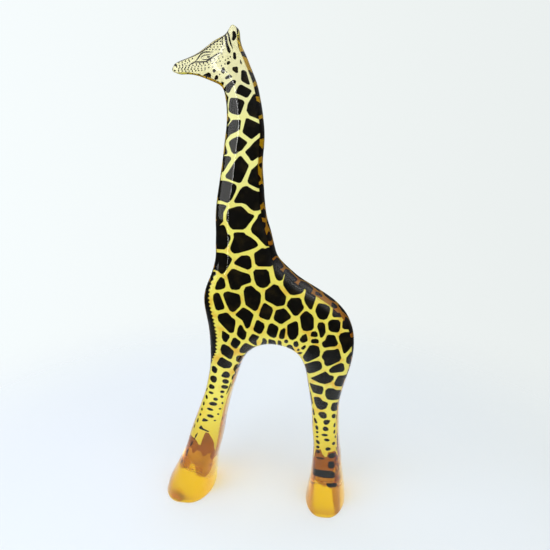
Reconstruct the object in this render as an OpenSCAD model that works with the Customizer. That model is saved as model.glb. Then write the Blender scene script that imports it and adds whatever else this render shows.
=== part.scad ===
// Layered cast resin giraffe figure, standing on two flared feet.
// Units are mm, +Z is up, the head points to -X and the two faces look along -Y and +Y.
// An amber core stands between two printed films, and each film lies under a clear resin cover.

/* [Size] */
// Overall size of the figure against the outline as drawn
figure_scale = 1; // [0.5:0.05:1.5]
// Half thickness the casting would have at the floor without its flare
half_depth = 29.5; // [20:0.5:40]
// Loss of half thickness for each mm of height
depth_taper = 0.038; // [0:0.002:0.045]
// Extra half thickness of the feet at the floor
foot_flare = 12.5; // [0:0.5:20]
// Height where the flare of the feet starts
flare_height = 110; // [60:5:150]

/* [Layers] */
// Distance of each film from the middle plane at the floor
film_offset = 21; // [12:0.5:26]
// Loss of that distance for each mm of height
film_taper = 0.0265; // [0:0.0005:0.03]
// Thickness of a film with its ink
film_thick = 0.5; // [0.3:0.1:1]

/* [Edges] */
// Width of the rounding from the outline inwards
edge_round = 17; // [8:1:24]
// Shape of the rounding, 2 for an ellipse and more for a squarer edge
edge_power = 3; // [2:0.1:4]

/* [Detail] */
// Steps between two drawn outline points
rail_steps = 2; // [1:1:3]
// Radius of the small dots on the face
dot_r = 0.7; // [0.4:0.05:0.8]

/* [Hidden] */
tilt = atan(film_taper);
columns = [0, 0.2, 0.52, 1];
K = 2 * len(columns) - 1;
wall_rows = 3;

// ---------- outline ----------
// Each row pairs a point of one edge with the point across from it: [x, z, x, z].

// From the nose over the ear and down the neck: jaw and chest side, then nape side.
neck_rows = [
  [-80.5, 488.5, -80.3, 491.2], [-78.5, 486.2, -78, 495], [-74, 485.8, -74, 497.2],
  [-68, 486, -68, 499.3], [-60, 485, -61, 501.8], [-52, 482.7, -53, 505.6],
  [-44, 479.6, -44.5, 511.3], [-38, 477.2, -37, 516.3], [-33.5, 475.2, -30, 519.2],
  [-31, 473.5, -26, 521], [-29.5, 471.5, -23.3, 523], [-28.7, 470, -21.2, 526.8],
  [-28.3, 468.6, -18, 529.5], [-28, 467.4, -14.5, 528.3], [-27.7, 466.2, -12.8, 524.5],
  [-27.4, 464.6, -12.6, 518], [-27, 462, -10.3, 510], [-26.6, 458.5, -6.4, 502.5],
  [-26.2, 454, -2.3, 492.5], [-26.1, 448, 1.5, 483.5], [-26.2, 440, 5, 474],
  [-27.2, 431.5, 7.2, 463.5], [-28.7, 422, 9.2, 453], [-30.2, 411, 10.6, 441.5],
  [-32, 399, 11.6, 429], [-34, 387, 11.2, 416], [-36.2, 375, 9.8, 403.5],
  [-38.3, 363, 9.5, 391], [-40, 351, 10.3, 378], [-40.8, 338, 10.9, 365],
  [-40.8, 325, 11.9, 352], [-41.4, 312, 13.8, 339], [-41.7, 299, 17.5, 327],
  [-44.3, 287, 20.8, 313], [-48.5, 275, 24.5, 299]
];

// Front leg column: chest side, then the edge that rises into the arch.
fore_rows = [
  [-48.5, 275, -6.5, 187], [-53.3, 264, -10.5, 181.5], [-56.3, 252, -13.8, 176],
  [-56, 241, -16, 171], [-54.2, 230, -17.8, 166], [-52.3, 219, -19.5, 161],
  [-51.2, 208, -21, 156], [-50.8, 197, -22.7, 150.5], [-50.8, 186, -24.3, 145.5],
  [-51, 175, -26, 140.5], [-52.3, 164, -27.7, 135], [-54.5, 153, -29.5, 129],
  [-57, 142, -31.3, 122.5], [-60.2, 131, -33, 115.5], [-64, 120.5, -35, 107],
  [-67.8, 110, -37, 98], [-71.8, 99.5, -38.9, 89], [-75.8, 89, -40.3, 80],
  [-79.3, 78.5, -42, 71], [-82.5, 68, -44, 62], [-86, 57.5, -46.2, 53],
  [-90.8, 47, -48.7, 43.5], [-96, 37, -50.3, 34.5], [-101, 27, -51.7, 26],
  [-106, 18, -52.6, 17.5], [-109.8, 9, -53.2, 8.8], [-112.45, 0, -53.6, 0]
];

// Back, rump and hind leg column: back side, then the edge under the arch.
hind_rows = [
  [24.5, 299, -6.5, 187], [30.5, 291, -3, 190.2], [38.5, 283.5, 1, 193.2],
  [48.5, 275, 5.5, 195.6], [59.5, 268, 10.5, 197.4], [70.5, 261.5, 16, 198.6],
  [81, 254.8, 22, 199], [90, 248.2, 28.5, 198.6], [97.5, 240.8, 34.5, 197.4],
  [103.5, 233, 40, 195.6], [107.8, 224, 45, 193], [110.8, 214.5, 49.3, 189.8],
  [112.1, 204.5, 52.8, 185.6], [112.1, 194.5, 55.5, 180.8], [110.7, 184, 57.8, 175],
  [108.5, 173.5, 59.6, 168.5], [105.6, 163.5, 60.9, 160.5], [102.8, 153.5, 62.3, 151.5],
  [100.4, 143, 63.9, 142], [98.7, 132.5, 65.7, 132], [98.2, 122, 67, 122],
  [98.4, 111, 67.5, 111], [98.8, 100, 67.9, 100], [99.1, 89, 69, 89],
  [99.9, 78, 69.9, 78], [101, 67, 69.7, 67], [102.6, 56.5, 69.2, 56.5],
  [103.6, 46, 68.5, 46], [104.9, 36, 67.5, 36], [106, 27, 66.3, 27],
  [107.3, 18, 64.9, 18], [108.4, 9, 63.3, 9], [109.2, 0, 61.8, 0]
];

function head_end(r) = [r[0], r[1]];
function tail_end(r) = [r[2], r[3]];
function flip(l) = [for (i = [len(l) - 1:-1:0]) l[i]];
function rest(l) = [for (i = [1:1:len(l) - 1]) l[i]];

// A smooth run through the points, with rail_steps steps between each two of them.
function bend(a, b, c, d, t) = 0.5 * (2 * b + (c - a) * t
  + (2 * a - 5 * b + 4 * c - d) * t * t + (3 * b - a - 3 * c + d) * t * t * t);
function rail(l) = let (n = len(l))
  [for (i = [0:n - 2], s = [0:rail_steps - 1])
    bend(l[max(i - 1, 0)], l[i], l[i + 1], l[min(i + 2, n - 1)], s / rail_steps),
   l[n - 1]];

front_rail = rail(concat([for (r = neck_rows) head_end(r)], rest([for (r = fore_rows) head_end(r)])));
back_rail = rail(concat([for (r = neck_rows) tail_end(r)], rest([for (r = hind_rows) head_end(r)])));
arch_rail = rail(concat(flip([for (r = fore_rows) tail_end(r)]), rest([for (r = hind_rows) tail_end(r)])));
ring = concat(front_rail, arch_rail, flip(back_rail));

nf = len(front_rail);
na = len(arch_rail);
n = len(ring);
neck_last = (len(neck_rows) - 1) * rail_steps;
fore_last = (len(fore_rows) - 1) * rail_steps;
hind_last = (len(hind_rows) - 1) * rail_steps;

// Rungs across the figure, as pairs of places in the ring.
neck_rungs = [for (i = [0:neck_last]) [i, n - 1 - i]];
fore_rungs = [for (i = [0:fore_last]) [neck_last + i, nf + fore_last - i]];
hind_rungs = [for (i = [0:hind_last]) [nf + fore_last + i, n - 1 - neck_last - i]];

// ---------- thickness ----------
function low(z) = pow(max(0, 1 - z / flare_height), 2);
function outer_y(z) = half_depth - depth_taper * z + foot_flare * low(z);
function film_y(z) = film_offset - film_taper * z;
function power_at(z) = edge_power - 0.9 * low(z);
function unit(v) = v / norm(v);

// The ends of the open rails stand on the floor, where the normal is level.
function on_floor(i) = i == nf - 1 || i == nf || i == nf + na - 1 || i == nf + na;
function floor_gap(i) = i == nf - 1 || i == nf + na - 1;
function out_of(i) = on_floor(i) ? (floor_gap(i) ? [-1, 0] : [1, 0])
  : let (d = ring[(i + 1) % n] - ring[(i + n - 1) % n]) unit([d[1], -d[0]]);
normals = [for (i = [0:n - 1]) out_of(i)];

// Largest circle that touches the outline at a point from inside, which limits the rounding there.
function inner_radius(i) = min([for (j = [0:n - 1])
  let (d = ring[j] - ring[i], c = -(d * normals[i])) c > 0.001 ? d * d / (2 * c) : 999]);
// At the floor the level normal would spoil that circle, so the point above lends its own.
function above_floor(i) = !on_floor(i) ? i : floor_gap(i) ? i - 1 : i + 1;
round_w = [for (i = [0:n - 1])
  min(edge_round + 12 * low(ring[i][1]), 0.9 * inner_radius(above_floor(i)))];

function inset_at(q, z) = let (p = power_at(z)) 1 - pow(1 - pow(min(q, 1), p), 1 / p);
function lift_at(s, z) = let (p = power_at(z)) pow(1 - pow(1 - min(max(s, 0), 1), p), 1 / p);
function inset_point(i, y) = ring[i]
  - normals[i] * round_w[i] * inset_at(abs(y) / outer_y(ring[i][1]), ring[i][1]);

// Outline of the films, a little inside the widest outline.
film_ring = [for (i = [0:n - 1]) inset_point(i, film_y(ring[i][1]))];

// Distance from a point inside to the nearest edge, with the rounding width found there.
function to_segment(v, a, b) = let (ab = b - a,
  t = min(1, max(0, (v - a) * ab / (ab * ab)))) norm(v - a - ab * t);
function edge_depth(v) = let (
    ds = [for (p = ring) norm(p - v)],
    m = min(ds),
    i = search(m, ds)[0],
    a = (i + n - 1) % n,
    b = (i + 1) % n,
    da = floor_gap(a) ? m : to_segment(v, ring[a], ring[i]),
    db = floor_gap(i) ? m : to_segment(v, ring[i], ring[b]))
  min(m, da, db) / round_w[i];

// ---------- skins ----------
function share(k, len_mm) = let (h = len(columns), w = min(edge_round * 0.9, 0.45 * len_mm) / len_mm)
  k < h ? columns[k] * w : 1 - columns[2 * h - 1 - k] * w;
function skin_y(v) = max(outer_y(v[1]) * lift_at(edge_depth(v), v[1]), film_y(v[1]) + film_thick / 2);
function rung_points(r, lifted) = let (a = film_ring[r[0]], b = film_ring[r[1]], l = norm(b - a))
  [for (k = [0:K]) let (v = a + (b - a) * share(k, l))
    [v[0], k == 0 || k == K || !lifted ? film_y(v[1]) + film_thick / 2 : skin_y(v), v[1]]];
function corner_point(a, b, c) = let (
    t = [share(a, 90), share(b, 90), share(c, 90)],
    v = (film_ring[neck_rungs[neck_last][0]] * t[0] + film_ring[neck_rungs[neck_last][1]] * t[1]
      + film_ring[hind_rungs[0][0]] * t[2]) / (t[0] + t[1] + t[2]))
  [v[0], skin_y(v), v[1]];

// Points of a cover: the rungs of the three strips, then the inner points of the shoulder triangle.
all_rungs = concat(neck_rungs, fore_rungs, hind_rungs);
fore_0 = len(neck_rungs);
hind_0 = fore_0 + len(fore_rungs);
tri_0 = len(all_rungs) * (K + 1);
tri_cells = [for (a = [1:K - 2], b = [1:K - 1 - a]) [a, b]];
function tri_id(a, b) = let (c = K - a - b)
  c == 0 ? neck_last * (K + 1) + b
  : b == 0 ? fore_0 * (K + 1) + c
  : a == 0 ? hind_0 * (K + 1) + b
  : tri_0 + (a - 1) * (K - 1) - a * (a - 1) / 2 + b - 1;
function two(a, b, c, d) = [[a, b, c], [a, c, d]];
function strip_skin(first, count) = [for (r = [first:first + count - 2], k = [0:K - 1])
  let (o = r * (K + 1) + k) each two(o, o + K + 1, o + K + 2, o + 1)];
function strip_back(first, count) = [for (r = [first:first + count - 2])
  let (o = r * (K + 1)) each two(o, o + K, o + 2 * K + 1, o + K + 1)];

module cover_solid() {
  points = concat([for (i = [0:len(all_rungs) - 1]) each rung_points(all_rungs[i], i > 0)],
    [for (t = tri_cells) corner_point(t[0], t[1], K - t[0] - t[1])]);
  nose = concat([for (k = [0:K - 1]) [K + 1, k, k + 1]], [[K + 1, K, 2 * K + 1]]);
  fore_foot = [for (k = [1:K - 1]) let (o = (fore_0 + fore_last) * (K + 1)) [o, o + k + 1, o + k]];
  hind_foot = [for (k = [1:K - 1]) let (o = (hind_0 + hind_last) * (K + 1)) [o, o + k + 1, o + k]];
  faces = concat(
    strip_skin(0, len(neck_rungs)),
    strip_skin(fore_0, len(fore_rungs)),
    strip_skin(hind_0, len(hind_rungs)),
    [for (a = [0:K - 1], b = [0:K - 1 - a])
      each concat([[tri_id(a, b), tri_id(a, b + 1), tri_id(a + 1, b)]],
        a + b < K - 1 ? [[tri_id(a + 1, b), tri_id(a, b + 1), tri_id(a + 1, b + 1)]] : [])],
    nose,
    strip_back(1, len(neck_rungs) - 1),
    strip_back(fore_0, len(fore_rungs)),
    strip_back(hind_0, len(hind_rungs)),
    [[tri_id(K, 0), tri_id(0, K), tri_id(0, 0)]],
    fore_foot,
    hind_foot);
  polyhedron(points, faces);
}

// The core: one row of points for each step through its thickness.
module core_solid() {
  rows = [for (j = [0:wall_rows]) let (u = 2 * j / wall_rows - 1) [for (i = [0:n - 1])
    let (edge = abs(u) > 0.99, v = edge ? film_ring[i]
      : inset_point(i, u * (film_y(ring[i][1]) - film_thick / 2)))
    [v[0], u * (film_y(v[1]) - film_thick / 2), v[1]]]];
  top = wall_rows * n;
  cap = concat(
    [for (s = [[neck_rungs, neck_last], [fore_rungs, fore_last], [hind_rungs, hind_last]], i = [0:s[1] - 1])
      each two(s[0][i][0], s[0][i][1], s[0][i + 1][1], s[0][i + 1][0])],
    [[neck_rungs[neck_last][0], neck_rungs[neck_last][1], hind_rungs[0][0]]]);
  walls = [for (j = [0:wall_rows - 1], i = [0:n - 1])
    let (a = j * n + i, b = j * n + (i + 1) % n) each two(a, b, b + n, a + n)];
  polyhedron([for (r = rows) each r],
    concat(walls, cap, [for (f = cap) [for (v = flip(f)) v + top]]));
}

// ---------- print ----------
function on_film(l) = [for (p = l) [p[0], p[1] / cos(tilt)]];

// A loop with its sharp corners cut back, so that a drawn patch has soft corners.
function soft(l) = let (m = len(l)) [for (i = [0:m - 1]) let (
    v = l[i],
    a = l[(i + m - 1) % m] - v,
    b = l[(i + 1) % m] - v,
    cut = min(1.2, norm(a) * 0.35, norm(b) * 0.35))
  each unit(a) * unit(b) > -0.6 ? [v + unit(a) * cut, v + unit(b) * cut] : [v]];
function oval(o, steps = 10) = [for (i = [0:steps - 1]) let (t = i * 360 / steps, x = o[2] * cos(t),
  y = o[3] * sin(t))
  [o[0] + x * cos(o[4]) - y * sin(o[4]), o[1] + x * sin(o[4]) + y * cos(o[4])]];

// A drawn line of a given width that runs to a point at both ends.
function side_of(l, i, w) = let (d = unit(l[min(i + 1, len(l) - 1)] - l[max(i - 1, 0)]),
  h = i == 0 || i == len(l) - 1 ? w * 0.15 : w / 2) [-d[1], d[0]] * h;
function stroke(l, w) = concat([for (i = [0:len(l) - 1]) l[i] + side_of(l, i, w)],
  [for (i = [len(l) - 1:-1:0]) l[i] - side_of(l, i, w)]);

head_patches = [
  [[-9.3, 488], [-4.5, 487], [-0.5, 473.5], [-4, 474.5], [-9.8, 478]],
  [[-10.6, 498.5], [-8.8, 495], [-8.3, 492], [-10.5, 494]],
  [[-18.5, 490.5], [-12.5, 491.2], [-12.3, 485], [-14.5, 485], [-18, 487.5]],
  [[-26, 481], [-25, 479], [-21, 480.3], [-17.5, 481.5], [-21.5, 484.3], [-24, 482.5]],
  [[-30, 486.5], [-28.5, 485], [-26, 485.3], [-24.8, 488], [-27.5, 491.3], [-29, 489.5]],
  [[-38.6, 489], [-34.5, 489.2], [-35.3, 486], [-37.5, 485.4]],
  [[-37.4, 479.6], [-34.5, 484.4], [-31.6, 481.5], [-34.5, 478.6]],
  [[-48.8, 483.8], [-41.5, 486.6], [-39.7, 484], [-40.5, 480], [-47, 480]],
  [[-58, 485.2], [-52, 485.2], [-48, 481.5], [-52, 480.5]],
  [[-32, 475], [-28, 478.2], [-26.4, 475.5], [-29.5, 472]],
  [[-27.6, 470.3], [-24, 474.5], [-17.5, 479.3], [-14.3, 478], [-14.8, 475.5], [-19, 471],
   [-21.5, 466.4], [-24, 466.8]],
  [[-25.2, 520.5], [-22.9, 518.5], [-22.2, 512], [-19.4, 505.5], [-20.3, 502.3], [-22.8, 505],
   [-24.2, 510], [-25.2, 515]],
  [[-17.8, 523.2], [-15.2, 523.4], [-13.8, 518.5], [-16, 514.2], [-18.4, 515], [-17.6, 519]],
  [[-17, 504.4], [-14.6, 504], [-14, 499], [-15, 496.8], [-17.3, 498.5], [-17.4, 502]]
];
head_ovals = [[-75.8, 493, 1.4, 1.1, 0], [-22, 494.5, 2.2, 1.6, 40], [-42, 500.3, 1.7, 0.9, 8]];
head_lines = [
  [[[-63, 492.6], [-59, 494.6], [-55.5, 496], [-50, 495.8], [-45, 496.1], [-40.5, 498], [-36, 501.2],
   [-31.5, 503.4], [-28, 504.3]], 1.3],
  [[[-56, 496], [-53, 499], [-50, 502.6], [-47, 504.5], [-43, 504.8], [-37, 504.6]], 1.3],
  [[[-50, 498.8], [-48.6, 500.8], [-46, 502], [-42.5, 502.2], [-39.5, 502.8]], 1],
  [[[-49, 498.2], [-46.5, 497.8], [-43, 498], [-40, 499.2], [-37.5, 501]], 0.9],
  [[[-22.6, 524.3], [-21.4, 520], [-20.6, 516], [-19.3, 511.5], [-17.4, 507.2]], 1.7],
  [[[-26.8, 518.3], [-27.9, 514.5], [-27.6, 511.5], [-26, 509]], 1.2]
];
// Rows of face dots on curves: first dot, point that pulls the curve, last dot, number of dots.
dot_rows = [
  [[-77, 488.6], [-60, 487.4], [-46, 488.6], 10], [[-73, 490], [-58, 488.6], [-38, 491], 11],
  [[-75, 491.4], [-56, 489.4], [-30.5, 496.2], 14], [[-72, 492.8], [-52, 490.8], [-27.5, 500], 13],
  [[-58.5, 494.6], [-44, 493], [-28.4, 502.8], 9], [[-72.5, 495.2], [-66, 496.2], [-58.5, 498.8], 5],
  [[-69, 493.8], [-65, 494.4], [-61.5, 496.4], 4], [[-43.5, 507], [-36, 507], [-27.5, 506.6], 6],
  [[-39.8, 509.2], [-34, 509.4], [-28.8, 509.2], 4], [[-36.2, 511.6], [-33, 511.8], [-29.8, 511.6], 3],
  [[-32.6, 514], [-31, 514.1], [-29.4, 514.2], 2], [[-29, 492], [-27, 492.5], [-25.5, 493.5], 2],
  [[-25, 497], [-22, 498.5], [-20, 500], 3], [[-31, 484], [-27, 485], [-24, 486], 3]
];
function pulled(r, t) = r[0] * (1 - t) * (1 - t) + r[1] * 2 * t * (1 - t) + r[2] * t * t;
head_dots = [for (r = dot_rows, i = [0:r[3] - 1]) pulled(r, i / (r[3] - 1))];
// The dark line of the forehead is the film less the film moved by this much.
brow_shift = [0.45, -0.95];
brow_area = [[-84, 489], [-70, 489], [-21, 505], [-21, 540], [-84, 540]];

neck_patches = [
  [[-16.2, 466.3], [-11.5, 474], [-9, 474.2], [1.5, 468.5], [-3, 461.8], [-5.5, 462], [-11, 464.6]],
  [[-29, 468], [-23.8, 464.8], [-22.2, 462.5], [-23.5, 457], [-26, 449], [-29, 450]],
  [[-20.8, 462], [-14, 461.7], [-8, 459.7], [-5.8, 457.5], [-8, 452], [-10.5, 446], [-13, 445.2],
   [-19, 446.8], [-22.8, 449.3], [-22, 456]],
  [[3.2, 466], [10, 462], [13, 442], [7.5, 441.3], [-1.5, 444.8], [-4.4, 449.5], [-3, 456], [0.5, 461.8]],
  [[-29, 446.5], [-23.5, 444.5], [-20, 441], [-24, 435.5], [-29, 435.5]],
  [[-18.5, 440.8], [-9.7, 441], [-11, 431.3], [-14.5, 429.3], [-21, 426.3], [-25.5, 421.2], [-31, 420],
   [-30, 432], [-24, 434.6]],
  [[-5, 442.5], [-2.5, 442.2], [8, 437.2], [14, 437], [14, 427], [8.5, 427.8], [1, 422], [-0.5, 422.3],
   [-9, 428.5], [-7, 435]],
  [[-23.2, 419], [-19, 422.2], [-12.5, 425.2], [-4, 419.5], [-3.8, 418], [-9.5, 410.8], [-13, 409.3],
   [-15.5, 407], [-18, 407.3], [-20.2, 409.5]],
  [[8.5, 423.6], [3, 419.2], [-1, 414.5], [-6.7, 409.3], [-3, 404.8], [-0.5, 400.8], [1.5, 400.4],
   [5, 402.8], [9, 405.5], [14, 406], [14, 424]],
  [[-33, 421], [-26.8, 416.5], [-23.8, 408.5], [-25.8, 406], [-33, 407]],
  [[-33, 405], [-25, 405.2], [-22, 405.2], [-20, 402.5], [-24, 396.8], [-29, 388.8], [-36, 389]],
  [[-11, 405.6], [-9.5, 404.8], [-2.6, 396.5], [-2.7, 394.5], [-6, 387], [-10, 379.3], [-12.5, 377.6],
   [-20, 380.3], [-26.3, 382.8], [-27.2, 385.5], [-24, 389.2], [-17, 399.8], [-13, 404.4]],
  [[14, 399], [8, 398.6], [3, 394.2], [0, 391.6], [-2.5, 385], [-4.2, 379.5], [-2.5, 377.3], [1, 375.3],
   [6.5, 372.8], [14, 372]],
  [[-6, 375], [-4, 375], [2, 371.2], [6, 369.6], [14, 369.5], [15, 352], [9.5, 351], [7, 349.8],
   [2, 349.3], [-1, 351.3], [-5.5, 355.8], [-10, 357.3], [-17, 357.1], [-18.8, 359], [-15.5, 365],
   [-12, 371], [-9, 374]],
  [[-40, 380.6], [-28.5, 380.2], [-24, 379.5], [-17, 376.8], [-14.8, 374], [-17, 368], [-20.5, 361.3],
   [-24, 357.8], [-26, 357.3], [-32, 359.3], [-42, 359.3]],
  [[-44, 356.6], [-30, 355.6], [-26.3, 354.2], [-26.8, 352.5], [-29.8, 347], [-30.2, 342],
   [-30.2, 337.5], [-33, 334.3], [-36.5, 329.8], [-46, 327]],
  [[-25, 350.7], [-15, 354], [-11, 354.2], [-8, 352.2], [-3, 347.2], [2.2, 345.2], [3, 343.5], [0, 339],
   [-6, 331.3], [-9, 329.3], [-20, 329.1], [-23.2, 331.5], [-27.2, 339.5], [-26.7, 345]],
  [[18, 347.5], [11, 348], [7, 345.5], [5.5, 341.5], [1, 335], [-1, 330], [0.5, 326.3], [6, 321.8],
   [12, 315], [15, 312.2], [28, 311]]
];

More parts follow.
